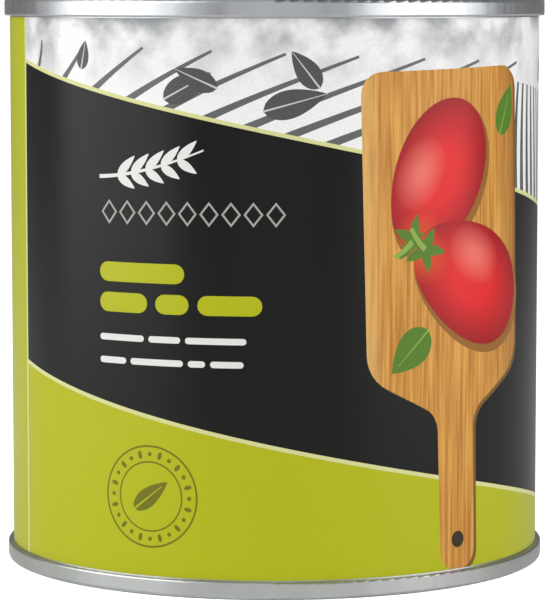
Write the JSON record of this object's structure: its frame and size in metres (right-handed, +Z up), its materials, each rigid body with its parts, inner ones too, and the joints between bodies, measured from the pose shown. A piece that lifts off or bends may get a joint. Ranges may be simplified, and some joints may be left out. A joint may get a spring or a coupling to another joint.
{
  "type": "tin of tomatoes",
  "caption": "Shut round food tin standing on its base, with seamed, ringed steel ends and a wraparound paper label in slanted fields of colour.",
  "frame": {"origin": "middle of the base, on the plane that the bottom rim stands on", "axes": "+Z up along the tin's axis, the label's front faces -Y and the label's lap is at +Y"},
  "size_m": [0.1016, 0.1016, 0.1055],
  "materials": {
    "wall": "satin tinplate",
    "tinplate": "satin tinplate, rolled and pressed",
    "label": "satin coated paper, printed"
  },
  "bodies": {
    "root": {"can_body": "wall", "top_end": "tinplate", "bottom_end": "tinplate", "label": "label"}
  },
  "joints": []
}
